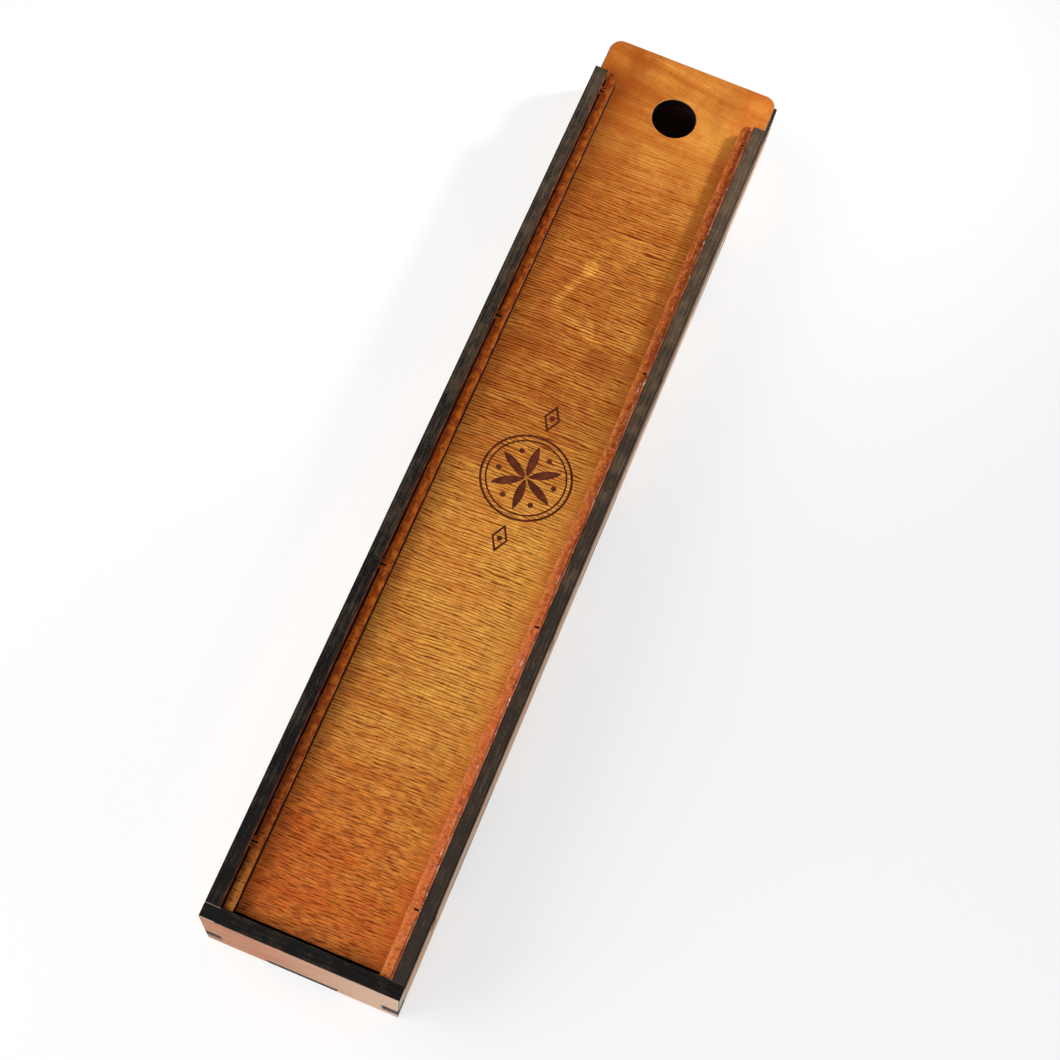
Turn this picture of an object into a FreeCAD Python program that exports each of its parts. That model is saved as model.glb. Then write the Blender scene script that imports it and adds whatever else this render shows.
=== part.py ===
# Slim plywood box with a sliding lid. Nine pieces are glued up with tabs and slots,
# and the lid slides between two pairs of rails until it comes out at the open end.
# Millimetres, origin at the bottom centre, +X towards the open end, +Y left, +Z up.
import FreeCAD, Part
import Sketcher
import os

doc = FreeCAD.newDocument("SlidingLidBox")
sheet = doc.addObject("Spreadsheet::Sheet", "Sizes")

driving_sizes = (
    # The outside of the closed box.
    ("box_length", "292"),
    ("box_width", "55"),
    ("box_height", "33"),
    # The plywood of each kind of piece.
    ("side_thickness", "4"),
    ("end_thickness", "4"),
    ("base_thickness", "4"),
    ("rail_thickness", "4"),
    ("lid_thickness", "4"),
    # Tabs of the side walls in the end walls.
    ("corner_tab_height", "5"),
    ("corner_tab_rise", "6"),
    # Tabs of the base panel in the walls.
    ("base_tab_count", "3"),
    ("base_tab_length", "30"),
    ("base_end_tab_width", "20"),
    # Rails, with split tabs that reach through the side walls.
    ("rail_width", "2.8"),
    ("rail_drop", "2"),
    ("rail_wall_gap", "0.5"),
    ("rail_end_gap", "0.3"),
    ("rail_far_reach", "0.8"),
    ("rail_corner_radius", "2.5"),
    ("rail_tab_count", "4"),
    ("rail_tab_width", "3"),
    ("rail_tab_first", "23"),
    ("rail_tab_last", "6.3"),
    ("rail_slit_width", "0.5"),
    ("rail_slit_depth", "1.3"),
    # Lid: a tongue between the side walls and a wide head on the stepped-down end.
    ("head_length", "16"),
    ("head_side_inset", "0.8"),
    ("head_corner_radius", "3.5"),
    ("finger_hole_diameter", "13.5"),
    ("finger_hole_setback", "19.4"),
    ("lid_near_gap", "1.5"),
    ("lid_side_play", "0.5"),
    ("lid_height_play", "0.4"),
    ("shoulder_play", "0.4"),
    # Fit of the glued tabs, reach of cuts past a face, and the most of a piece that a round corner takes.
    ("tab_gap", "0.15"),
    ("cut_overrun", "1"),
    ("corner_limit_share", "0.9"),
)
for row, (alias, value) in enumerate(driving_sizes, start=1):
    sheet.set(f"A{row}", alias)
    sheet.set(f"B{row}", value)
    sheet.setAlias(f"B{row}", alias)
doc.recompute()

# Places along the box, from its near end to its open end.
near_face = "(-Sizes.box_length / 2)"
near_inside = f"({near_face} + Sizes.end_thickness)"
step_face = "(Sizes.box_length / 2 - Sizes.head_length)"
far_inside = "(Sizes.box_length / 2 - Sizes.end_thickness)"
far_face = "(Sizes.box_length / 2)"

# Places across the box, on its left side.
inner_side = "(Sizes.box_width / 2 - Sizes.side_thickness)"
outer_side = "(Sizes.box_width / 2)"

# Heights. The sill is what the lid lies over: lower rails, stepped side walls and far end wall.
upper_rail_bottom = "(Sizes.box_height - Sizes.rail_drop - Sizes.rail_thickness)"
lid_bottom = f"({upper_rail_bottom} - Sizes.lid_height_play - Sizes.lid_thickness)"
sill = f"({lid_bottom} - Sizes.lid_height_play)"
lower_rail_bottom = f"({sill} - Sizes.rail_thickness)"
corner_tab_top = "(Sizes.corner_tab_rise + Sizes.corner_tab_height)"

# Spacing of a rail's tabs, which run from the near end to the step in the side walls.
rail_tab_span = "(Sizes.box_length - Sizes.head_length - Sizes.rail_tab_first - Sizes.rail_tab_last)"
rail_tab_pitch = f"({rail_tab_span} / (Sizes.rail_tab_count - 1))"


def block(name, low, high):
    """A box between two corners, each given as three expressions."""
    box = doc.addObject("Part::Box", name)
    for side, axis, start, end in zip(("Length", "Width", "Height"), "xyz", low, high):
        box.setExpression(side, f"({end}) - ({start})")
        box.setExpression(f"Placement.Base.{axis}", start)
    return box


def joined(name, pieces):
    """One solid made of several blocks."""
    union = doc.addObject("Part::MultiFuse", name)
    union.Shapes = pieces
    union.Refine = True
    return union


def without(name, piece, cutters):
    """A piece with several blocks cut out of it."""
    cut = doc.addObject("Part::Cut", name)
    cut.Base = piece
    cut.Tool = joined(f"{name}_cutters", cutters)
    return cut


def across(side, inner, outer):
    """Low and high places across the box of something on its left or right side."""
    if side == "left":
        return inner, outer
    return f"-({outer})", f"-({inner})"


def base_tab_ends(number, gap):
    """Places along the box where one of the base panel's side tabs, or its notch, starts and ends."""
    middle = f"{near_inside} + ({far_inside} - {near_inside}) * ({number} + 1 / 2) / Sizes.base_tab_count"
    half = f"(Sizes.base_tab_length / 2 + {gap})"
    return f"{middle} - {half}", f"{middle} + {half}"


def side_wall(side):
    """Upright board with a tab at each end, stepped down at the open end for the lid's head."""
    name = f"{side}_wall"
    low_y, high_y = across(side, inner_side, outer_side)
    board = block(f"{name}_board", (near_inside, low_y, "0"), (far_inside, high_y, "Sizes.box_height"))
    tab_bottom = "Sizes.corner_tab_rise + Sizes.tab_gap"
    tab_top = f"{corner_tab_top} - Sizes.tab_gap"
    tabs = block(f"{name}_tabs", (near_face, low_y, tab_bottom), (far_face, high_y, tab_top))

    low_cut, high_cut = across(side, f"{inner_side} - Sizes.cut_overrun", f"{outer_side} + Sizes.cut_overrun")
    step_end = (f"{far_face} + Sizes.cut_overrun", high_cut, "Sizes.box_height + Sizes.cut_overrun")
    cutters = [block(f"{name}_step", (step_face, low_cut, sill), step_end)]
    half_slot = "(Sizes.rail_tab_width / 2 + Sizes.tab_gap)"
    for number in range(int(sheet.rail_tab_count)):
        middle = f"{near_face} + Sizes.rail_tab_first + {rail_tab_pitch} * {number}"
        for bottom in (lower_rail_bottom, upper_rail_bottom):
            slot_start = (f"{middle} - {half_slot}", low_cut, f"{bottom} - Sizes.tab_gap")
            slot_top = f"{bottom} + Sizes.rail_thickness + Sizes.tab_gap"
            slot_end = (f"{middle} + {half_slot}", high_cut, slot_top)
            cutters.append(block(f"{name}_slot", slot_start, slot_end))
    notch_top = "Sizes.base_thickness + Sizes.tab_gap"
    for number in range(int(sheet.base_tab_count)):
        start, end = base_tab_ends(number, "Sizes.tab_gap")
        notch_start = (start, low_cut, "-Sizes.cut_overrun")
        cutters.append(block(f"{name}_notch", notch_start, (end, high_cut, notch_top)))
    return without(name, joined(f"{name}_blank", [board, tabs]), cutters)


def end_wall(end, low_x, high_x, height):
    """Upright board as wide as the box, notched for the side walls' tabs and the base panel's tab."""
    name = f"{end}_end_wall"
    board = block(f"{name}_board", (low_x, f"-{outer_side}", "0"), (high_x, outer_side, height))
    low_cut = f"{low_x} - Sizes.cut_overrun"
    high_cut = f"{high_x} + Sizes.cut_overrun"
    cutters = []
    for side in ("left", "right"):
        low_y, high_y = across(side, f"{inner_side} - Sizes.tab_gap", f"{outer_side} + Sizes.cut_overrun")
        notch_start = (low_cut, low_y, "Sizes.corner_tab_rise")
        cutters.append(block(f"{name}_notch", notch_start, (high_cut, high_y, corner_tab_top)))
    half_notch = "(Sizes.base_end_tab_width / 2 + Sizes.tab_gap)"
    notch_end = (high_cut, half_notch, "Sizes.base_thickness + Sizes.tab_gap")
    cutters.append(block(f"{name}_base_notch", (low_cut, f"-{half_notch}", "-Sizes.cut_overrun"), notch_end))
    return without(name, board, cutters)


def base_panel():
    """Floor between the walls, with tabs that reach to their outer faces."""
    half_width = f"({inner_side} - Sizes.tab_gap)"
    panel_start = (f"{near_inside} + Sizes.tab_gap", f"-{half_width}", "0")
    panel_end = (f"{far_inside} - Sizes.tab_gap", half_width, "Sizes.base_thickness")
    pieces = [block("base_panel_board", panel_start, panel_end)]
    for number in range(int(sheet.base_tab_count)):
        start, end = base_tab_ends(number, "0")
        tab_end = (end, outer_side, "Sizes.base_thickness")
        pieces.append(block("base_panel_side_tabs", (start, f"-{outer_side}", "0"), tab_end))
    half_tab = "(Sizes.base_end_tab_width / 2)"
    tab_end = (far_face, half_tab, "Sizes.base_thickness")
    pieces.append(block("base_panel_end_tabs", (near_face, f"-{half_tab}", "0"), tab_end))
    return joined("base_panel", pieces)


def sketch_on_ground(body, name):
    """An empty sketch on the body's own XY plane."""
    sketch = body.newObject("Sketcher::SketchObject", name)
    ground = next(plane for plane in body.Origin.OriginFeatures if plane.Role == "XY_Plane")
    sketch.AttachmentSupport = [(ground, "")]
    sketch.MapMode = "FlatFace"
    return sketch


def rectangle(body, name, left, right, low, high):
    """A sketched rectangle whose edges lie at four distances from the body's origin."""
    sketch = sketch_on_ground(body, name)
    corners = [FreeCAD.Vector(x, y, 0) for x, y in ((1, 1), (2, 1), (2, 2), (1, 2))]
    for number, corner in enumerate(corners):
        sketch.addGeometry(Part.LineSegment(corner, corners[(number + 1) % len(corners)]), False)
    for number in range(len(corners)):
        sketch.addConstraint(Sketcher.Constraint("Coincident", number, 2, (number + 1) % len(corners), 1))
    edges = (
        ("low", "Horizontal", "DistanceY", low),
        ("right", "Vertical", "DistanceX", right),
        ("high", "Horizontal", "DistanceY", high),
        ("left", "Vertical", "DistanceX", left),
    )
    for number, (edge, direction, distance, place) in enumerate(edges):
        sketch.addConstraint(Sketcher.Constraint(direction, number))
        start = corners[number].y if distance == "DistanceY" else corners[number].x
        index = sketch.addConstraint(Sketcher.Constraint(distance, -1, 1, number, 1, start))
        sketch.renameConstraint(index, edge)
        sketch.setExpression(f"Constraints.{edge}", place)
    return sketch


def pad(body, name, sketch, thickness):
    """Raise a sketch to a thickness."""
    feature = body.newObject("PartDesign::Pad", name)
    feature.Profile = sketch
    feature.setExpression("Length", thickness)
    return feature


def pocket(body, name, sketch, thickness):
    """Cut a sketch upwards through a thickness."""
    feature = body.newObject("PartDesign::Pocket", name)
    feature.Profile = sketch
    feature.Reversed = True
    feature.setExpression("Length", f"{thickness} + Sizes.cut_overrun")
    return feature


def row_along_rail(body, name, feature):
    """Repeat a feature at each tab of a rail."""
    pattern = body.newObject("PartDesign::LinearPattern", name)
    pattern.Originals = [feature]
    pattern.Direction = (feature.Profile[0], ["H_Axis"])
    pattern.Occurrences = int(sheet.rail_tab_count)
    pattern.setExpression("Length", rail_tab_span)
    body.Tip = pattern
    doc.recompute()
    return pattern


def far_upright_edges(feature):
    """Names of the upright edges at a feature's far end, from its low side to its high side."""
    far_end = feature.Shape.BoundBox.XMax
    found = []
    for number, edge in enumerate(feature.Shape.Edges, start=1):
        place = edge.CenterOfMass
        upright = edge.BoundBox.ZLength > edge.BoundBox.YLength
        if upright and abs(place.x - far_end) < feature.Shape.getTolerance(1):
            found.append((place.y, f"Edge{number}"))
    return [name for place_y, name in sorted(found)]


def round_corners(body, feature, edges, radius):
    """Round upright corners of a piece."""
    fillet = body.newObject("PartDesign::Fillet", "round_corners")
    fillet.Base = (feature, edges)
    fillet.setExpression("Radius", radius)
    return fillet


def rail(side, level, bottom):
    """Strip beside a side wall that guides the lid, held by split tabs through the wall.

    It is drawn from the box's near right corner; the left rails are the same strip turned over.
    """
    body = doc.addObject("PartDesign::Body", f"{side}_{level}_rail")
    wall_edge = "(Sizes.side_thickness + Sizes.rail_wall_gap)"
    strip_end = "Sizes.box_length - Sizes.head_length + Sizes.rail_far_reach"
    strip_start = "Sizes.end_thickness + Sizes.rail_end_gap"
    lid_edge = f"{wall_edge} + Sizes.rail_width"
    strip_sketch = rectangle(body, "strip_sketch", strip_start, strip_end, wall_edge, lid_edge)
    strip = pad(body, "strip", strip_sketch, "Sizes.rail_thickness")
    doc.recompute()
    rounding = "min(Sizes.rail_corner_radius; Sizes.rail_width * Sizes.corner_limit_share)"
    round_corners(body, strip, far_upright_edges(strip)[-1:], rounding)

    tab_start = "Sizes.rail_tab_first - Sizes.rail_tab_width / 2"
    tab_end = "Sizes.rail_tab_first + Sizes.rail_tab_width / 2"
    tab_sketch = rectangle(body, "tab_sketch", tab_start, tab_end, "Sizes.tab_gap", wall_edge)
    row_along_rail(body, "tabs", pad(body, "first_tab", tab_sketch, "Sizes.rail_thickness"))

    slit_start = "Sizes.rail_tab_first - Sizes.rail_slit_width / 2"
    slit_end = "Sizes.rail_tab_first + Sizes.rail_slit_width / 2"
    slit_depth = f"{wall_edge} + Sizes.rail_slit_depth"
    slit_sketch = rectangle(body, "slit_sketch", slit_start, slit_end, "Sizes.tab_gap / 2", slit_depth)
    row_along_rail(body, "slits", pocket(body, "first_slit", slit_sketch, "Sizes.rail_thickness"))

    body.setExpression("Placement.Base.x", near_face)
    if side == "left":
        body.Placement.Rotation = FreeCAD.Rotation(FreeCAD.Vector(1, 0, 0), 180)
        body.setExpression("Placement.Base.y", outer_side)
        body.setExpression("Placement.Base.z", f"{bottom} + Sizes.rail_thickness")
    else:
        body.setExpression("Placement.Base.y", f"-{outer_side}")
        body.setExpression("Placement.Base.z", bottom)
    return body


def lid():
    """T-shaped board: a tongue under the upper rails and a wide head with a finger hole behind it."""
    body = doc.addObject("PartDesign::Body", "lid")
    tongue_start = "Sizes.end_thickness + Sizes.lid_near_gap"
    shoulder = "Sizes.box_length - Sizes.head_length + Sizes.shoulder_play"
    tongue_inset = "(Sizes.side_thickness + Sizes.lid_side_play)"
    tongue_sketch = rectangle(
        body, "tongue_sketch", tongue_start, shoulder, tongue_inset, f"Sizes.box_width - {tongue_inset}"
    )
    pad(body, "tongue", tongue_sketch, "Sizes.lid_thickness")
    head_low = "Sizes.head_side_inset"
    head_high = f"Sizes.box_width - {head_low}"
    head_sketch = rectangle(body, "head_sketch", shoulder, "Sizes.box_length", head_low, head_high)
    head = pad(body, "head", head_sketch, "Sizes.lid_thickness")
    doc.recompute()
    rounding = "min(Sizes.head_corner_radius; Sizes.head_length * Sizes.corner_limit_share)"
    round_corners(body, head, far_upright_edges(head), rounding)

    hole_sketch = sketch_on_ground(body, "finger_hole_sketch")
    circle = Part.Circle(FreeCAD.Vector(1, 1, 0), FreeCAD.Vector(0, 0, 1), 1)
    hole_sketch.addGeometry(circle, False)
    hole_middle = "Sizes.box_length - Sizes.finger_hole_setback"
    places = (
        ("along", Sketcher.Constraint("DistanceX", -1, 1, 0, 3, 1), hole_middle),
        ("across", Sketcher.Constraint("DistanceY", -1, 1, 0, 3, 1), "Sizes.box_width / 2"),
        ("diameter", Sketcher.Constraint("Diameter", 0, 2), "Sizes.finger_hole_diameter"),
    )
    for name, constraint, place in places:
        hole_sketch.renameConstraint(hole_sketch.addConstraint(constraint), name)
        hole_sketch.setExpression(f"Constraints.{name}", place)
    pocket(body, "finger_hole", hole_sketch, "Sizes.lid_thickness")

    body.setExpression("Placement.Base.x", near_face)
    body.setExpression("Placement.Base.y", f"-{outer_side}")
    body.setExpression("Placement.Base.z", lid_bottom)
    return body


sub_parts = [base_panel()]
sub_parts.append(end_wall("near", near_face, near_inside, "Sizes.box_height"))
sub_parts.append(end_wall("far", far_inside, far_face, sill))
for side in ("left", "right"):
    sub_parts.append(side_wall(side))
    sub_parts.append(rail(side, "lower", lower_rail_bottom))
    sub_parts.append(rail(side, "upper", upper_rail_bottom))
sub_parts.append(lid())
doc.recompute()

for item in doc.Objects:
    if "Invalid" in item.State or "Error" in item.State:
        raise RuntimeError(f"{item.Label} failed: {item.State}")
for sub_part in sub_parts:
    if sub_part.Shape.isNull() or not sub_part.Shape.isValid() or len(sub_part.Shape.Solids) != 1:
        raise RuntimeError(f"{sub_part.Label} is not one sound solid")

os.makedirs("parts", exist_ok=True)
for sub_part in sub_parts:
    sub_part.Shape.exportStep(f"parts/{sub_part.Label}.step")
    print(sub_part.Label, round(sub_part.Shape.Volume), sub_part.Shape.BoundBox)
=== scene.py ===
import math

import bpy
from mathutils import Color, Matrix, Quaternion, Vector


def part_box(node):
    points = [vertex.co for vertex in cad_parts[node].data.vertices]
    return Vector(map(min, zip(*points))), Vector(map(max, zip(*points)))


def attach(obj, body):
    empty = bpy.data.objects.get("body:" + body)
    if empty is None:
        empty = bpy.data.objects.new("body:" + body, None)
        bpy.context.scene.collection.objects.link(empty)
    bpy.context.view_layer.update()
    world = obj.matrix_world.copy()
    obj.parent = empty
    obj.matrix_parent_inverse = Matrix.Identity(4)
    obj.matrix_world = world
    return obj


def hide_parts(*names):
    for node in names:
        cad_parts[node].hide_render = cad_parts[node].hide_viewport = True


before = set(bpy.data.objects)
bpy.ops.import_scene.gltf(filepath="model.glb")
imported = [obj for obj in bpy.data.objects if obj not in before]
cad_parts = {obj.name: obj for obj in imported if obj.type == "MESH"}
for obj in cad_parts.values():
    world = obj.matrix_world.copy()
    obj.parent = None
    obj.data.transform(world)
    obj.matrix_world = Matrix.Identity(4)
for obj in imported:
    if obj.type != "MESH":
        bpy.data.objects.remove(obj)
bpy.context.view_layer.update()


# Base panel: the floor of the box, a sheet of three-layer birch plywood cut out by laser.
# Its tabs sit in the lower edges of the walls and are glued there. Its inside face is painted
# near black: painted shade, so that the inside of the box reads dark through the finger hole.
ARRIS_WIDTH = 0.00016
MERGE_DISTANCE = 0.00001


def eased_board(node):
    """A copy of a board from the frame, with whole flat faces and with its sharp edges eased."""
    board = bpy.data.objects.new(node + "_board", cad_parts[node].data.copy())
    bpy.context.scene.collection.objects.link(board)
    board.data.materials.clear()
    bpy.ops.object.select_all(action="DESELECT")
    board.select_set(True)
    bpy.context.view_layer.objects.active = board
    bpy.ops.mesh.customdata_custom_splitnormals_clear()
    bpy.ops.object.mode_set(mode="EDIT")
    bpy.ops.mesh.select_all(action="SELECT")
    bpy.ops.mesh.remove_doubles(threshold=MERGE_DISTANCE)
    bpy.ops.mesh.dissolve_limited(angle_limit=math.radians(1))
    bpy.ops.object.mode_set(mode="OBJECT")
    easing = board.modifiers.new("eased_arris", "BEVEL")
    easing.width = ARRIS_WIDTH
    easing.segments = 2
    easing.limit_method = "ANGLE"
    easing.angle_limit = math.radians(40)
    bpy.ops.object.modifier_apply(modifier=easing.name)
    bpy.ops.object.shade_smooth_by_angle(angle=math.radians(20))
    return board


CAVITY_MIDDLE = Vector((0, 0, 0.013))
FLAT_LEAN = 0.99
UPRIGHT_LEAN = 0.1


def dress_board(board, thin_axis, outside, inside, edge, arris):
    """Give a board the stain of its two faces, its burnt edges and the worn arrises between them."""
    for finish in (outside, inside, edge, arris):
        board.data.materials.append(finish)
    for polygon in board.data.polygons:
        lean = abs(polygon.normal[thin_axis])
        faces_in = (CAVITY_MIDDLE - polygon.center).dot(polygon.normal) > 0
        if lean > FLAT_LEAN:
            polygon.material_index = int(faces_in)
        elif lean < UPRIGHT_LEAN:
            polygon.material_index = 2
        else:
            polygon.material_index = 3


class Shade:
    """One output of a finish's nodes. Sums and products of shades add Math nodes to the finish."""

    def __init__(self, tree, socket):
        self.tree = tree
        self.socket = socket

    def node(self, kind, settings, values, output=0):
        """Add a node, make its settings, feed its sockets and give one of its outputs."""
        made = self.tree.nodes.new(kind)
        for name, setting in settings.items():
            setattr(made, name, setting)
        for name, value in values.items():
            target = next(socket for socket in made.inputs if socket.identifier == name)
            if isinstance(value, Shade):
                self.tree.links.new(value.socket, target)
            else:
                target.default_value = value
        return Shade(self.tree, made.outputs[output])

    def maths(self, operation, first, second):
        return self.node("ShaderNodeMath", {"operation": operation}, {"Value": first, "Value_001": second})

    def __add__(self, other):
        return self.maths("ADD", self, other)

    def __radd__(self, other):
        return self.maths("ADD", other, self)

    def __sub__(self, other):
        return self.maths("SUBTRACT", self, other)

    def __rsub__(self, other):
        return self.maths("SUBTRACT", other, self)

    def __mul__(self, other):
        return self.maths("MULTIPLY", self, other)

    def __rmul__(self, other):
        return self.maths("MULTIPLY", other, self)

    def __abs__(self):
        return self.maths("ABSOLUTE", self, 0)

    def part(self, axis):
        """One coordinate of a place, in metres."""
        return self.node("ShaderNodeSeparateXYZ", {}, {"Vector": self}, axis)

    def rise(self, low, high):
        """A soft step from 0 at low to 1 at high."""
        sockets = {"Value": self, "From Min": low, "From Max": high}
        return self.node("ShaderNodeMapRange", {"interpolation_type": "SMOOTHSTEP"}, sockets)

    def between(self, low_colour, high_colour):
        """The colour between two, by this shade as the share of the second."""
        sockets = {"Factor_Float": self, "A_Color": low_colour, "B_Color": high_colour}
        return self.node("ShaderNodeMix", {"data_type": "RGBA"}, sockets, 2)

    def spots(self, lengths, detail=2):
        """Noise over a place, from 0 to 1, whose spots have these lengths along the axes."""
        stretched = self.node(
            "ShaderNodeVectorMath", {"operation": "DIVIDE"}, {"Vector": self, "Vector_001": lengths}
        )
        return self.node(
            "ShaderNodeTexNoise", {}, {"Vector": stretched, "Scale": 1, "Detail": detail, "Roughness": 0.55}
        )


def new_finish(name):
    """A new material, and the place on the object's surface as its first shade."""
    finish = bpy.data.materials.new(name)
    finish.use_nodes = True
    tree = finish.node_tree
    return finish, Shade(tree, tree.nodes.new("ShaderNodeTexCoord").outputs["Object"])


def close_finish(finish, colour, roughness, height, relief, sheen):
    """Send a finish's colour, roughness and relief to its surface, under a thin coat of lacquer."""
    surface = finish.node_tree.nodes["Principled BSDF"]
    normal = height.node("ShaderNodeBump", {}, {"Strength": 1, "Distance": relief, "Height": height})
    for name, shade in (("Base Color", colour), ("Roughness", roughness), ("Normal", normal)):
        finish.node_tree.links.new(shade.socket, surface.inputs[name])
    surface.inputs["Specular IOR Level"].default_value = sheen


def tone(red, green, blue):
    """A colour of the screen, 0 to 255 in each part, as a colour of the finish."""
    return [*Color((red / 255, green / 255, blue / 255)).from_srgb_to_scene_linear(), 1]


def spot_size(axis, along, beside):
    """The size of a spot that measures one length along an axis and another beside it."""
    return [along if number == axis else beside for number in range(3)]


def stained_birch(place, fibre_axis, pale, warm, dark):
    """Colour, roughness and height of birch: warmer blotches, fine fibres and dark pores."""
    blotches = place.spots(spot_size(fibre_axis, 0.02, 0.012), 3).rise(0.34, 0.7)
    fibres = place.spots(spot_size(fibre_axis, 0.018, 0.0008), 3).rise(0.3, 0.7)
    pores = place.spots(spot_size(fibre_axis, 0.008, 0.0006)).rise(0.56, 0.72)
    colour = (blotches * 0.7).between(tone(*pale), tone(*warm))
    colour = (fibres * 0.35 + pores * 0.3).between(colour, tone(*dark))
    return colour, 0.4 + fibres * 0.08 + pores * 0.1, 1 - pores * 0.7 - fibres * 0.3


def stained_face(name, fibre_axis, pale, warm, dark):
    """The stain of a face that is the same all over."""
    finish, place = new_finish(name)
    close_finish(finish, *stained_birch(place, fibre_axis, pale, warm, dark), 0.00005, 0.25)
    return finish


SOOT = (15, 13, 12)


def burnt_edge(node, thin_axis, soot, scorch):
    """The laser's cut: soot over the three layers of the plywood, with its fine upright furrows.

    The soot is thickest along the arrises. Towards the open end it is painted paler: painted light.
    """
    finish, place = new_finish(node + "_burnt_edge")
    low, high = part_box(node)
    middle = (low[thin_axis] + high[thin_axis]) / 2
    thickness = high[thin_axis] - low[thin_axis]
    from_middle = abs(place.part(thin_axis) - middle) * (1 / thickness)
    glue_lines = from_middle.rise(0.1, 0.17) - from_middle.rise(0.2, 0.3)
    streaks = place.spots(spot_size(thin_axis, 0.0004, 0.004), 3).rise(0.36, 0.7)
    blotches = place.spots((0.006, 0.006, 0.006), 3).rise(0.4, 0.68)
    specks = place.spots((0.0005, 0.0005, 0.0005)).rise(0.4, 0.7)
    furrows = place.spots(spot_size(thin_axis, 0.004, 0.0003))
    rims = (from_middle + (specks - 0.5) * 0.08).rise(0.31, 0.46)
    # Painted light: the burnt edges are painted paler towards the open end.
    rubbed = place.part(0).rise(-0.16, 0.13)
    bare = streaks * 0.3 + blotches * 0.35 + specks * 0.25 + rubbed * 0.5 - glue_lines * 0.2 - 0.2
    colour = bare.rise(0, 1).between(tone(*soot), tone(*scorch))
    colour = (rims * 0.75).between(colour, tone(*SOOT))
    roughness = 0.55 + streaks * 0.15
    close_finish(finish, colour, roughness, furrows + streaks * 0.5, 0.00006, 0.12)
    return finish


def worn_arris(name, soot, bare):
    """The eased arris, where handling has rubbed soot and stain thin down to the wood."""
    finish, place = new_finish(name)
    rubbed = place.spots((0.004, 0.004, 0.004), 3).rise(0.45, 0.65)
    colour = rubbed.between(tone(*soot), tone(*bare))
    close_finish(finish, colour, 0.45 + rubbed * 0.15, rubbed, 0.00002, 0.2)
    return finish


SCORCH = (80, 66, 52)
base_panel = eased_board("base_panel")
dress_board(
    base_panel,
    2,
    stained_face("base_underside_stain", 0, (196, 150, 102), (184, 132, 84), (140, 92, 52)),
    # Painted shade: the inside face is painted near black, for the dark inside of the closed box.
    stained_face("base_inside_painted_shade", 0, (46, 29, 17), (36, 21, 12), (20, 12, 8)),
    burnt_edge("base_panel", 2, SOOT, SCORCH),
    worn_arris("base_arris", (44, 36, 30), (112, 84, 60)),
)
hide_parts("base_panel")
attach(base_panel, "box")


# Side walls: two long boards of the same plywood, glued over the tabs of the base panel.
# Their upper parts stop short of the open end, where the lid's wide head goes over the lower ones.
# Laser cutting left their edges black and its smoke browned the outer faces below their tops.
SIDE_EDGES = {"left_wall": (SOOT, SCORCH), "right_wall": ((50, 42, 36), (100, 81, 61))}
SMOKE = (50, 39, 31)


def side_face():
    """Pale stained birch, smoked below the top and darker further down towards the open end.

    Its near tab is painted black as painted shade.
    """
    finish, place = new_finish("side_wall_stain")
    colour, roughness, height = stained_birch(place, 0, (228, 190, 160), (214, 168, 130), (170, 120, 84))
    wisps = (place.spots((0.009, 1, 0.004), 3) - 0.5) * 0.008
    # Smoke below the top; towards the open end the darkening reaches further down.
    smoke = (place.part(2) + wisps + place.part(0).rise(-0.06, 0.06) * 0.012).rise(0.021, 0.034)
    tab_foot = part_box("near_end_wall")[1][0]
    # Painted shade: the near tab is painted black.
    near_tab_painted_shade = 1 - place.part(0).rise(tab_foot - 0.0004, tab_foot + 0.0002)
    colour = (smoke * 0.85).between(colour, tone(*SMOKE))
    colour = near_tab_painted_shade.between(colour, tone(*SOOT))
    close_finish(finish, colour, roughness + 0.2, height, 0.00005, 0.06)
    return finish


def side_arris():
    """The arris of a side wall, sooty outside and reddened inside by the stain of the rails."""
    finish, place = new_finish("side_wall_arris")
    rubbed = place.spots((0.004, 0.004, 0.004), 3).rise(0.42, 0.62)
    outer = rubbed.between(tone(20, 17, 15), tone(58, 46, 38))
    inner = rubbed.between(tone(92, 44, 28), tone(148, 86, 62))
    colour = abs(place.part(1)).rise(0.0248, 0.0262).between(inner, outer)
    close_finish(finish, colour, 0.75 + rubbed * 0.1, rubbed, 0.00002, 0.03)
    return finish


side_outside = side_face()
side_inside = stained_face("side_inside_stain", 0, (128, 74, 48), (104, 56, 34), (60, 33, 21))
side_arris_finish = side_arris()
for node, (soot, scorch) in SIDE_EDGES.items():
    side_wall = eased_board(node)
    side_edge = burnt_edge(node, 1, soot, scorch)
    dress_board(side_wall, 1, side_outside, side_inside, side_edge, side_arris_finish)
    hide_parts(node)
    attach(side_wall, "box")


# End walls: the near one closes the box to its full height and holds the side walls' tabs.
# The far one stops under the lid, as the sill that the lid slides over.
# Both are cut from the same sheet and glued on. Their upright edges were sanded flush with the sides.
TAB_MIDDLE = 0.0085
TAB_INSIDE = 0.0231
TAB_DARK_REACH = 0.0042
TAB_DARK_BLUR = 0.0007


def tab_soot_and_shade(place):
    """Soot around the tab slots in an end wall, and painted shade over the tab's height on its upright
    edges.
    """
    level = 1 - abs(place.part(2) - TAB_MIDDLE).rise(TAB_DARK_REACH * 0.75, TAB_DARK_REACH)
    return level * abs(place.part(1)).rise(TAB_INSIDE - TAB_DARK_BLUR, TAB_INSIDE)


def end_face():
    """Stained birch, orange, and painted paler towards the right as painted light."""
    finish, place = new_finish("end_wall_stain")
    colour, roughness, height = stained_birch(place, 1, (194, 122, 72), (182, 102, 54), (136, 72, 34))
    # Painted light: the face is painted paler towards the right.
    paler_right_painted_light = 1 - place.part(1).rise(-0.03, 0.016)
    colour = (paler_right_painted_light * 0.8).between(colour, tone(216, 180, 152))
    colour = tab_soot_and_shade(place).between(colour, tone(*SOOT))
    close_finish(finish, colour, roughness, height, 0.00005, 0.12)
    return finish


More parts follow.
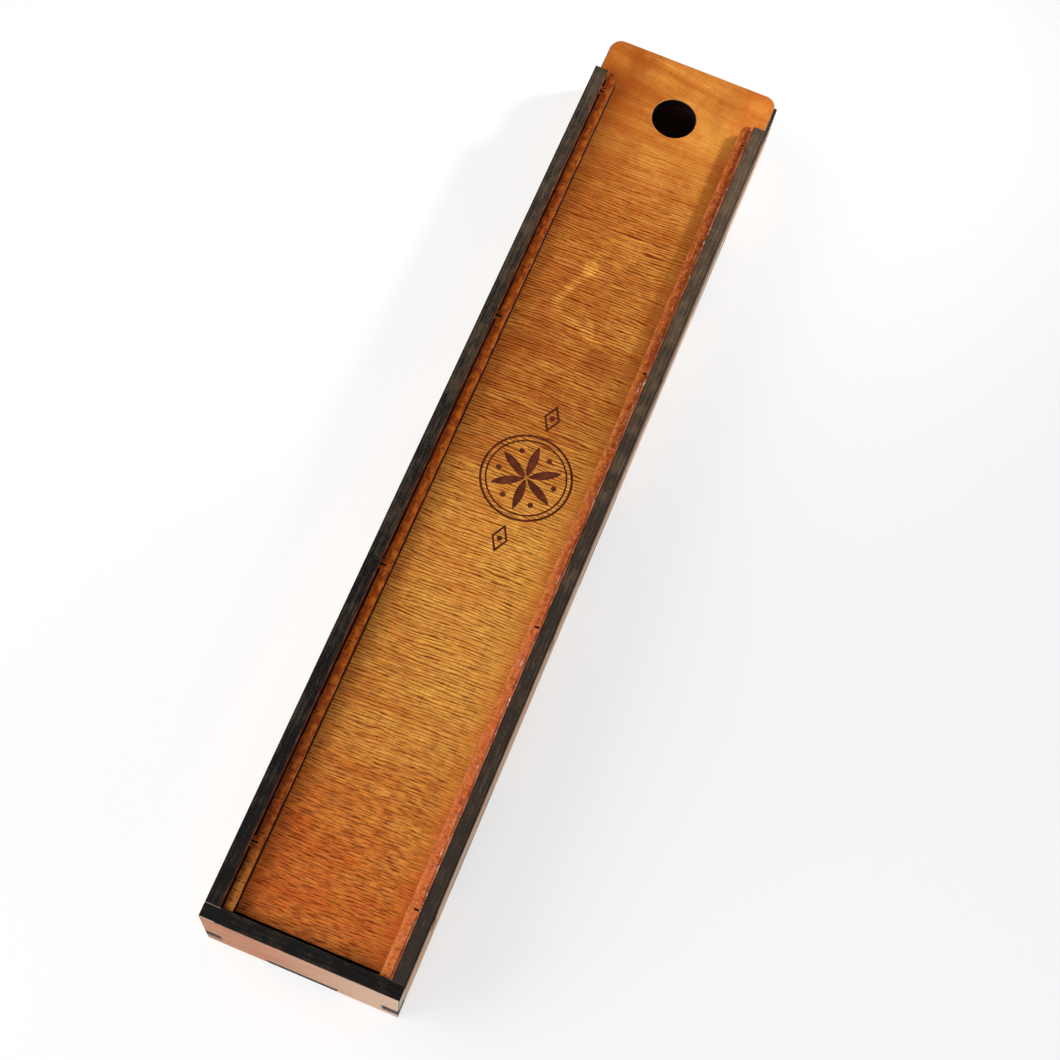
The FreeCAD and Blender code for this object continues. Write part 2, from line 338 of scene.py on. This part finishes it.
def sanded_edge(node):
    """An upright edge sanded back to the pale layers of the plywood and the brown glue between them."""
    finish, place = new_finish(node + "_sanded_edge")
    low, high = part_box(node)
    from_middle = abs(place.part(0) - (low[0] + high[0]) / 2) * (1 / (high[0] - low[0]))
    glue_lines = from_middle.rise(0.11, 0.15) - from_middle.rise(0.18, 0.22)
    streaks = place.spots((0.0004, 0.004, 0.006), 3).rise(0.4, 0.7)
    colour = (glue_lines * 0.5 + streaks * 0.4).between(tone(206, 190, 166), tone(112, 88, 66))
    # Painted shade: the pale upright edge is painted black over the side wall's tab.
    colour = tab_soot_and_shade(place).between(colour, tone(*SOOT))
    close_finish(finish, colour, 0.55 + streaks * 0.1, streaks, 0.00004, 0.2)
    return finish


def end_arris():
    """The arris of an end wall, worn through to pale wood where it meets the left wall's top."""
    finish, place = new_finish("end_wall_arris")
    rubbed = place.spots((0.004, 0.004, 0.004), 3).rise(0.45, 0.65)
    colour = rubbed.between(tone(40, 33, 28), tone(104, 78, 56))
    colour = (place.part(1).rise(0.0228, 0.0236) * 0.8).between(colour, tone(196, 174, 158))
    close_finish(finish, colour, 0.5 + rubbed * 0.1, rubbed, 0.00002, 0.2)
    return finish


end_outside = end_face()
# Painted shade: the end walls' inside faces are painted dark, so the far one reads dark through the finger
# hole.
end_inside = stained_face("end_inside_painted_shade", 1, (92, 52, 32), (72, 38, 22), (40, 22, 13))
end_arris_finish = end_arris()
for node in ("near_end_wall", "far_end_wall"):
    end_wall = eased_board(node)
    end_edge = burnt_edge(node, 0, SOOT, SCORCH)
    dress_board(end_wall, 0, end_outside, end_inside, end_edge, end_arris_finish)
    sanded_number = len(end_wall.data.materials)
    end_wall.data.materials.append(sanded_edge(node))
    for polygon in end_wall.data.polygons:
        if abs(polygon.normal.y) > FLAT_LEAN:
            polygon.material_index = sanded_number
    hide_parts(node)
    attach(end_wall, "box")


# Rails: four narrow strips glued along the side walls, two under the lid and two over it.
# Split tabs on each strip are pressed into slots in the wall. The stain is redder and more mottled
# on them. Their fibres run across the strip, and its edge along the right wall is chipped.
RAIL_STAINS = {
    "left": ((182, 94, 18), (146, 58, 8), (82, 28, 3), 0),
    "right": ((188, 98, 34), (156, 64, 22), (106, 40, 12), 1),
}
RAIL_NEAR_HALF_ORANGE = (236, 122, 62)
RAIL_GOLDEN = (224, 150, 62)
RAIL_CHIP = (244, 214, 188)
RAIL_FLECK = (238, 146, 112)
# The rails' burnt edges: soot, painted darker still as painted shade in the gap beside the lid.
RAIL_EDGE_SOOT_AND_SHADE = ((10, 6, 4), (46, 24, 13))
RAIL_ARRISES = {"left": ((96, 50, 28), (178, 108, 66)), "right": ((158, 80, 42), (206, 116, 68))}


def rail_face(name, pale, warm, dark, worn):
    """Mottled red-brown stain with dark pores across the strip, golden at the near end.

    A worn rail is lighter in its near half and golden along its inner edge. It is flecked and
    has pale chips beside the wall. The other is darker in its near half, with painted shade beside the
    wall.
    """
    finish, place = new_finish(name)
    along = place.part(0)
    from_middle = abs(place.part(1))
    mottles = place.spots((0.0024, 0.0014, 1), 3).rise(0.36, 0.64)
    pores = place.spots((0.0005, 0.003, 1)).rise(0.5, 0.7)
    stretches = place.spots((0.022, 1, 1)).rise(0.46, 0.6) * (1 - along.rise(0.06, 0.1))
    chips = place.spots((0.0034, 0.0005, 1), 3).rise(0.59, 0.62) * from_middle.rise(0.0217, 0.0224)
    chips = chips * stretches * worn
    # The worn rail is lighter in its near half.
    rubbed = 1 - along.rise(-0.06, 0.02)
    golden = (1 - along.rise(-0.138, -0.118)) * (1.6 - worn * 1.2)
    mid_length = along.rise(-0.08, -0.04) - along.rise(0.03, 0.07)
    inner_edge = 1 - from_middle.rise(0.0203, 0.022)
    golden = golden + inner_edge * worn * (0.4 + mid_length * 0.6)
    colour = mottles.between(tone(*pale), tone(*warm))
    colour = (rubbed * 0.6 * worn).between(colour, tone(*RAIL_NEAR_HALF_ORANGE))
    colour = (golden * 0.4).between(colour, tone(*RAIL_GOLDEN))
    flecks = place.spots((0.0011, 0.0007, 1), 2).rise(0.5, 0.68)
    colour = (flecks * 0.45 * worn).between(colour, tone(*RAIL_FLECK))
    # Darker in the far half and on the other rail in its near half; beside the wall that rail has painted
    # shade.
    darkening_and_wall_shade = along.rise(-0.03, 0.1) * 0.3 + (1 - along.rise(-0.12, -0.05)) * 0.3 * (1 - worn)
    darkening_and_wall_shade = darkening_and_wall_shade + from_middle.rise(0.021, 0.0228) * 0.35 * (1 - worn)
    colour = (pores * 0.5 + darkening_and_wall_shade + mottles * 0.15).between(colour, tone(*dark))
    colour = chips.between(colour, tone(*RAIL_CHIP))
    close_finish(finish, colour, 0.4 + pores * 0.1 + chips * 0.2, mottles - pores - chips, 0.00006, 0.12)
    return finish


for side, stain in RAIL_STAINS.items():
    rail_stain = rail_face(side + "_rail_stain", *stain)
    rail_arris = worn_arris(side + "_rail_arris", *RAIL_ARRISES[side])
    for level in ("lower", "upper"):
        node = f"{side}_{level}_rail"
        rail = eased_board(node)
        dress_board(rail, 2, rail_stain, rail_stain, burnt_edge(node, 2, *RAIL_EDGE_SOOT_AND_SHADE), rail_arris)
        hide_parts(node)
        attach(rail, "box")


# Glue bead: glue that came up between the right wall and its upper rail and dried there.
# It fills the narrow gap a little unevenly. The stain took to it poorly, so it shows as a paler line.
GLUE_TOP_DROP = 0.00015
GLUE_DEPTH = 0.0012
GLUE_CUTS = 180
GLUE_BREADTH = 0.0005
GLUE_LUMP_SIZE = 0.004
GLUE_SWELLING = 0.0005
RAIL_FAR_REACH = 0.0008
rail_low, rail_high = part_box("right_upper_rail")
wall_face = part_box("right_wall")[1][1]
wall_end = rail_high[0] - RAIL_FAR_REACH
bead_size = (wall_end - rail_low[0], GLUE_BREADTH, GLUE_DEPTH)
bead_middle = (
    (wall_end + rail_low[0]) / 2,
    wall_face + GLUE_BREADTH / 2,
    rail_high[2] - GLUE_TOP_DROP - GLUE_DEPTH / 2,
)
bpy.ops.object.select_all(action="DESELECT")
bpy.ops.mesh.primitive_cube_add(size=1, location=bead_middle)
glue_bead = bpy.context.object
glue_bead.name = "glue_bead"
bpy.ops.transform.resize(value=bead_size)
bpy.ops.object.transform_apply()
bpy.ops.object.mode_set(mode="EDIT")
bpy.ops.mesh.select_mode(type="EDGE")
bpy.ops.mesh.select_all(action="DESELECT")
bpy.ops.object.mode_set(mode="OBJECT")
for edge in glue_bead.data.edges:
    start, end = (glue_bead.data.vertices[number].co for number in edge.vertices)
    edge.select = abs(end.x - start.x) > bead_size[0] / 2
bpy.ops.object.mode_set(mode="EDIT")
bpy.ops.mesh.subdivide(number_cuts=GLUE_CUTS)
bpy.ops.object.mode_set(mode="OBJECT")
lumps = bpy.data.textures.new("glue_lumps", "CLOUDS")
lumps.noise_scale = GLUE_LUMP_SIZE
swelling = glue_bead.modifiers.new("swelling", "DISPLACE")
swelling.texture = lumps
swelling.texture_coords = "LOCAL"
swelling.strength = GLUE_SWELLING
bpy.ops.object.modifier_apply(modifier=swelling.name)
bpy.ops.object.shade_smooth_by_angle(angle=math.radians(60))


def dried_glue():
    """Glue tinted by the stain, with paler flecks where it has none."""
    finish, place = new_finish("dried_glue")
    tint = place.spots((0.006, 0.002, 0.002), 3).rise(0.4, 0.62)
    flecks = place.spots((0.0022, 0.001, 0.001), 2).rise(0.58, 0.64)
    stretches = place.spots((0.025, 1, 1)).rise(0.44, 0.58)
    colour = tint.between(tone(158, 76, 42), tone(212, 130, 88))
    colour = (flecks * stretches).between(colour, tone(246, 226, 204))
    close_finish(finish, colour, 0.35 + flecks * 0.2, tint + flecks, 0.00005, 0.4)
    return finish


glue_bead.data.materials.append(dried_glue())
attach(glue_bead, "box")


# Lid: one flat board that slides in under the upper rails, with a finger hole in its wide head.
# Its fibres run across the box, a little aslant, and the golden stain has gathered in their pores.
# A six-petalled rosette between two lozenges is engraved by laser in the middle of its upper face.
LID_PALE = (249, 177, 78)
LID_DEEP = (206, 120, 44)
LID_LINE = (110, 40, 4)
LID_GOLD = (230, 152, 54)
LID_LINE_PITCH = 0.00095
LID_RED = (213, 88, 29)
LID_BROWN = (138, 64, 10)
LID_FLAMES = (
    ((0.0493, 0.0005, 0), 1.2, 0.0125, 0.0016),
    ((0.0495, -0.0025, 0), 0.6, 0.0035, 0.0022),
    ((0.062, 0.007, 0), -0.41, 0.0095, 0.0016),
    ((0.0685, 0.0045, 0), -0.41, 0.0035, 0.0024),
)
LID_SHADES = (((0.042, 0.011, 0), 0.2, 0.008, 0.006), ((0.041, -0.0085, 0), 0, 0.006, 0.004))


def patches(place, outlines):
    """Soft-edged oval patches, each given by its centre, turn, half length and half breadth."""
    ragged = (place.spots((0.006, 0.004, 1), 3) - 0.5) * 1.2
    covered = 0
    for centre, turn, half_length, half_breadth in outlines:
        sockets = {"Vector": place, "Location": centre, "Rotation": (0, 0, turn)}
        sockets["Scale"] = (half_length, half_breadth, 1)
        from_centre = place.node("ShaderNodeMapping", {"vector_type": "TEXTURE"}, sockets)
        reach = place.node("ShaderNodeVectorMath", {"operation": "LENGTH"}, {"Vector": from_centre}, 1)
        covered = covered + (1 - (reach + ragged).rise(0.4, 1.2))
    return covered


def lid_fibres(place):
    """Dark lines of fibre across the lid, and the pale bundles and bands between them.

    The lines lie more aslant in the head, are short and close at the near end and faint at the right.
    """
    along = place.part(0)
    across = place.part(1)
    wander = (place.spots((0.05, 0.03, 1), 1) - 0.5) * 0.0018
    lean = 0.02 - along.rise(0.11, 0.15) * 0.17
    slanted = along + across * lean + wander
    fibre_places = {"X": slanted, "Y": across, "Z": place.part(2)}
    fibre_place = place.node("ShaderNodeCombineXYZ", {}, fibre_places)
    drift = (fibre_place.spots((0.0035, 0.025, 1), 1) - 0.5) * 14
    jitter = (fibre_place.spots((0.0012, 0.007, 1), 1) - 0.5) * 6
    phase = slanted * (math.tau / LID_LINE_PITCH) + drift + jitter
    strands = place.maths("SINE", phase, 0).rise(-0.1, 0.95)
    threads = 1 - abs(fibre_place.spots((0.0006, 0.011, 1), 1) - 0.5).rise(0.01, 0.08)
    fading = fibre_place.spots((0.0016, 0.009, 1), 2).rise(0.32, 0.62)
    strokes = fibre_place.spots((0.0004, 0.0035, 1), 2).rise(0.36, 0.64)
    dashes = fibre_place.spots((0.00028, 0.004, 1), 2).rise(0.4, 0.6)
    rough = 1 - along.rise(-0.115, -0.055)
    right_edge = 1 - across.rise(-0.0196, -0.014)
    lines = strands * (0.28 + fading * 0.2) * (1 - rough * 0.45) + strokes * 0.25 + threads * 0.1
    lines = lines + dashes * (rough * 0.5) - rough * 0.2
    lines = lines * (1 - right_edge * 0.4)
    bundles = fibre_place.spots((0.0024, 0.04, 1), 2).rise(0.36, 0.64)
    bands = fibre_place.spots((0.006, 0.05, 1), 2).rise(0.35, 0.65) - 0.5
    return lines, bundles, bands


def lid_veneer():
    """The lid's golden face: thin dark lines of fibre across the box on a ground with redder spots.

    The stain is palest on the right, reddest at the near end, where it is also most even, and brown
    past the middle, where pale flames show in it. Both edges are reddened as painted shade, the far left
    is browned as a painted shadow of the left wall and the near rim is painted paler as painted light.
    """
    finish, place = new_finish("lid_stain")
    lines, bundles, bands = lid_fibres(place)
    along = place.part(0)
    across = place.part(1)
    flames = patches(place, LID_FLAMES)
    clouds = place.spots((0.016, 0.011, 1), 3).rise(0.4, 0.72)
    head = along.rise(0.08, 0.125)
    far_half = along.rise(-0.03, 0.03)
    near_end = 1 - along.rise(-0.135, -0.07)

    golden = along.rise(-0.1, -0.06) - along.rise(-0.02, 0.03)
    # Painted light: the near rim is painted paler where the near wall shades it.
    near_rim_painted_light = 1 - along.rise(-0.139, -0.134)
    right_side = 1 - across.rise(-0.014, 0.008)
    paleness = 0.24 + bundles * 0.4 + bands * (0.45 + head * 0.1) + golden * 0.35
    paleness = paleness + right_side * (0.34 + golden * 0.12 - far_half * 0.12 - near_end * 0.15)
    paleness = paleness + flames * 0.42 + near_rim_painted_light * 0.4
    colour = paleness.between(tone(*LID_DEEP), tone(*LID_PALE))

    # Painted shade: the colour is reddened along the left and right edges, where the walls and rails shade
    # the lid.
    left_edge = across.rise(0.006, 0.022)
    right_edge = 1 - across.rise(-0.0196, -0.014)
    mottles = place.spots((0.0045, 0.003, 1), 3).rise(0.46, 0.66)
    unevenness = 1 - near_end * 0.6
    redness = clouds * 0.18 + mottles * 0.18 + left_edge * 0.18 + right_edge * 0.35
    redness = redness * unevenness + near_end * 0.64
    colour = redness.between(colour, tone(*LID_RED))
    gold = place.spots((0.011, 0.006, 1), 3).rise(0.5, 0.68)
    colour = (gold * unevenness * 0.4).between(colour, tone(*LID_GOLD))

    # Painted shadow of the left wall: the far left of the lid is browned.
    far_left_painted_shadow = across.rise(0, 0.02) * along.rise(0.07, 0.1)
    browned = far_half * (0.28 + clouds * 0.2) + head * 0.08 - flames * 0.24
    browned = browned + patches(place, LID_SHADES) * 0.22 + far_left_painted_shadow * 0.3
    colour = browned.between(colour, tone(*LID_BROWN))

    crisp = 1.3 + along.rise(-0.02, 0.03) * 0.3 - head * 1.02
    checks = place.spots((0.006, 0.0005, 1), 2).rise(0.52, 0.72)
    colour = (lines * crisp + checks * 0.16).between(colour, tone(*LID_LINE))
    close_finish(finish, colour, 0.42 + lines * 0.14, bundles * 0.4 - lines, 0.00003, 0.12)
    return finish


def engraved_scorch():
    """The engraving's floor and sides, burnt brown, with the close lines of the laser's passes."""
    finish, place = new_finish("engraved_scorch")
    passes = place.spots((0.0002, 0.004, 1)).rise(0.35, 0.65)
    blotches = place.spots((0.003, 0.003, 1), 3).rise(0.4, 0.65)
    colour = (passes * 0.4 + blotches * 0.5).between(tone(74, 28, 14), tone(118, 54, 28))
    close_finish(finish, colour, 0.6 + passes * 0.1, passes, 0.00003, 0.15)
    return finish


ENGRAVED_DEPTH = 0.0003
ENGRAVED_HALF_BREADTH = 0.02
ROSETTE_X, ROSETTE_Y = 0, -0.003
PETAL_CIRCLE = 0.0105
PETAL_RADIUS = 0.01035
PETAL_COUNT = 6
BEAD_CIRCLE = 0.0083
BEAD_RADIUS = 0.0008
RINGS = ((0.0132, 0.0007), (0.0116, 0.0005))
LOZENGE_CENTRE = 0.0196
LOZENGE_LENGTH = 0.0088
LOZENGE_BREADTH_SHARE = 0.55
LOZENGE_LINE = 0.0006
lid_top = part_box("lid")[1][2]
rosette_centre = (ROSETTE_X, ROSETTE_Y, lid_top)


def round_cutter(from_x, from_y, radius):
    """A round cutter half sunk in the lid's upper face, at a distance from the rosette's centre."""
    bpy.ops.object.select_all(action="DESELECT")
    bpy.ops.mesh.primitive_cylinder_add(
        vertices=96,
        radius=radius,
        depth=2 * ENGRAVED_DEPTH,
        location=(ROSETTE_X + from_x, ROSETTE_Y + from_y, lid_top),
    )
    return bpy.context.object


def frame_cutter(from_x, corners, radius, breadth_share, line):
    """A narrow closed frame, many-cornered for a ring or four-cornered for a lozenge, as a cutter."""
    bpy.ops.object.select_all(action="DESELECT")
    bpy.ops.mesh.primitive_circle_add(
        vertices=corners,
        radius=radius,
        fill_type="NGON",
        location=(ROSETTE_X + from_x, ROSETTE_Y, lid_top - ENGRAVED_DEPTH),
    )
    cutter = bpy.context.object
    bpy.ops.object.mode_set(mode="EDIT")
    bpy.ops.transform.resize(value=(1, breadth_share, 1), center_override=cutter.location)
    bpy.ops.mesh.inset(thickness=line)
    bpy.ops.mesh.delete(type="FACE")
    bpy.ops.mesh.select_all(action="SELECT")
    bpy.ops.mesh.extrude_region_move(TRANSFORM_OT_translate={"value": (0, 0, 2 * ENGRAVED_DEPTH)})
    bpy.ops.mesh.select_all(action="SELECT")
    bpy.ops.mesh.normals_make_consistent(inside=False)
    bpy.ops.object.mode_set(mode="OBJECT")
    return cutter


def repeat_round(cutter, count):
    """Copies of a cutter in a full circle about the rosette's centre, in the same mesh."""
    bpy.ops.object.select_all(action="DESELECT")
    cutter.select_set(True)
    bpy.context.view_layer.objects.active = cutter
    bpy.ops.object.transform_apply()
    bpy.ops.object.mode_set(mode="EDIT")
    bpy.ops.mesh.select_all(action="SELECT")
    for number in range(count - 1):
        bpy.ops.mesh.duplicate()
        bpy.ops.transform.rotate(
            value=math.radians(360 / count), orient_axis="Z", center_override=rosette_centre
        )
    bpy.ops.object.mode_set(mode="OBJECT")
    return cutter


def cut_with(board, operation, cutter):
    """Cut a board with a cutter, or keep what the two share, and throw the cutter away."""
    cutting = board.modifiers.new("cutting", "BOOLEAN")
    cutting.operation = operation
    cutting.solver = "EXACT"
    cutting.object = cutter
    bpy.ops.object.select_all(action="DESELECT")
    board.select_set(True)
    bpy.context.view_layer.objects.active = board
    bpy.ops.object.modifier_apply(modifier=cutting.name)
    bpy.data.objects.remove(cutter)


half_chord = PETAL_CIRCLE * math.sqrt(3) / 2
petal = round_cutter(PETAL_CIRCLE / 2, half_chord, PETAL_RADIUS)
cut_with(petal, "INTERSECT", round_cutter(PETAL_CIRCLE / 2, -half_chord, PETAL_RADIUS))
bead_turn = math.pi / PETAL_COUNT
bead = round_cutter(BEAD_CIRCLE * math.cos(bead_turn), BEAD_CIRCLE * math.sin(bead_turn), BEAD_RADIUS)
lozenge = frame_cutter(LOZENGE_CENTRE, 4, LOZENGE_LENGTH / 2, LOZENGE_BREADTH_SHARE, LOZENGE_LINE)
stud = round_cutter(LOZENGE_CENTRE, 0, BEAD_RADIUS)
cutters = [repeat_round(petal, PETAL_COUNT), repeat_round(bead, PETAL_COUNT)]
cutters += [repeat_round(lozenge, 2), repeat_round(stud, 2)]
for ring_radius, ring_line in RINGS:
    cutters.append(repeat_round(frame_cutter(0, 128, ring_radius, 1, ring_line), 1))

lid = eased_board("lid")
for cutter in cutters:
    cut_with(lid, "DIFFERENCE", cutter)
bpy.ops.object.shade_smooth_by_angle(angle=math.radians(20))
lid_arris = worn_arris("lid_arris", (150, 92, 40), (212, 146, 70))
lid_stain = lid_veneer()
# Painted shade: the lid's burnt edges, the finger hole's wall among them, are painted darker than soot so
# the hole reads dark.
dress_board(lid, 2, lid_stain, lid_stain, burnt_edge("lid", 2, (6, 5, 4), (26, 20, 16)), lid_arris)
engraved_number = len(lid.data.materials)
lid.data.materials.append(engraved_scorch())
for polygon in lid.data.polygons:
    sunk = ENGRAVED_DEPTH / 4 < lid_top - polygon.center.z < ENGRAVED_DEPTH * 2
    within_length = abs(polygon.center.x - ROSETTE_X) < LOZENGE_CENTRE + LOZENGE_LENGTH
    if sunk and within_length and abs(polygon.center.y) < ENGRAVED_HALF_BREADTH:
        polygon.material_index = engraved_number
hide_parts("lid")
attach(lid, "lid")


# Floor, light and camera: a plain pale floor that turns white far off, a broad soft light from the left,
# weaker ones from the near end and the right, a small lamp from the far right and an even white room.
# The camera looks down along the box from its near end.
FLOOR_SIZE = 6
FLOOR_DROP = 0.0002
WHITE_SHARE = 0.65
WHITE_START, WHITE_END = 0.4, 1.6
bpy.ops.object.select_all(action="DESELECT")
bpy.ops.mesh.primitive_plane_add(size=FLOOR_SIZE, location=(0, 0, -FLOOR_DROP))
floor = bpy.context.object
floor.name = "pale_floor"
floor_finish, floor_place = new_finish("pale_floor")
floor_surface = floor_finish.node_tree.nodes["Principled BSDF"]
floor_surface.inputs["Base Color"].default_value = (0.9, 0.9, 0.9, 1)
floor_surface.inputs["Roughness"].default_value = 0.8
floor_surface.inputs["Specular IOR Level"].default_value = 0.1
floor_rays = floor_finish.node_tree.nodes.new("ShaderNodeLightPath")
seen = Shade(floor_finish.node_tree, floor_rays.outputs["Is Camera Ray"])
mirrored = Shade(floor_finish.node_tree, floor_rays.outputs["Is Glossy Ray"])
passed_on = Shade(floor_finish.node_tree, floor_rays.outputs["Is Transmission Ray"])
glow = seen.node("ShaderNodeEmission", {}, {"Color": (1, 1, 1, 1), "Strength": 1})
floor_light = Shade(floor_finish.node_tree, floor_surface.outputs["BSDF"])
from_box = seen.node("ShaderNodeVectorMath", {"operation": "LENGTH"}, {"Vector": floor_place}, 1)
white = WHITE_SHARE + from_box.rise(WHITE_START, WHITE_END) * (1 - WHITE_SHARE)
shares = {"Fac": (seen + mirrored + passed_on) * white, "Shader": floor_light, "Shader_001": glow}
floor_look = seen.node("ShaderNodeMixShader", {}, shares)
floor_output = floor_finish.node_tree.nodes["Material Output"]
floor_finish.node_tree.links.new(floor_look.socket, floor_output.inputs["Surface"])
floor.data.materials.append(floor_finish)


def soft_light(name, place, aim, size, spread, watts):
    """A square soft light at a place, turned towards a point, with its beam held to a spread."""
    lamp = bpy.data.lights.new(name, "AREA")
    lamp.size = size
    lamp.spread = math.radians(spread)
    lamp.energy = watts
    light = bpy.data.objects.new(name, lamp)
    light.location = place
    light.rotation_euler = (Vector(aim) - Vector(place)).to_track_quat("-Z", "Y").to_euler()
    bpy.context.scene.collection.objects.link(light)


soft_light("window_light", (-0.34, 0.72, 0.55), (-0.06, 0, 0.02), 1.0, 180, 10.6)
soft_light("far_light", (0.42, -0.4, 0.46), (0.15, 0, 0.02), 0.1, 28, 0.1)
soft_light("near_light", (-0.72, -0.1, 1.0), (0, 0, 0.02), 0.8, 180, 4.7)
soft_light("right_light", (-0.2, -0.9, 0.3), (0, 0, 0.02), 0.8, 180, 2.4)

ROOM_LIGHT = 0.16
room = bpy.data.worlds.new("white_room")
room.use_nodes = True
background = room.node_tree.nodes["Background"]
background.inputs["Color"].default_value = (1, 1, 1, 1)
ray = Shade(room.node_tree, room.node_tree.nodes.new("ShaderNodeLightPath").outputs["Is Camera Ray"])
room_strength = ROOM_LIGHT + ray * (1 - ROOM_LIGHT)
room.node_tree.links.new(room_strength.socket, background.inputs["Strength"])
bpy.context.scene.world = room
bpy.context.scene.view_settings.view_transform = "Standard"

CAMERA_PLACE = Vector((-0.20721, -0.04652, 0.53703))
CAMERA_AIM = Vector((-0.01398, -0.00982, 0.0266))
CAMERA_ROLL = math.radians(12.065)
LENS_LENGTH = 67.165
SENSOR_WIDTH = 36
lens = bpy.data.cameras.new("photo_view")
lens.lens = LENS_LENGTH
lens.sensor_width = SENSOR_WIDTH
camera = bpy.data.objects.new("photo_view", lens)
camera.location = CAMERA_PLACE
level_view = (CAMERA_AIM - CAMERA_PLACE).to_track_quat("-Z", "Y")
camera.rotation_euler = (level_view @ Quaternion((0, 0, 1), CAMERA_ROLL)).to_euler()
bpy.context.scene.collection.objects.link(camera)
bpy.context.scene.camera = camera
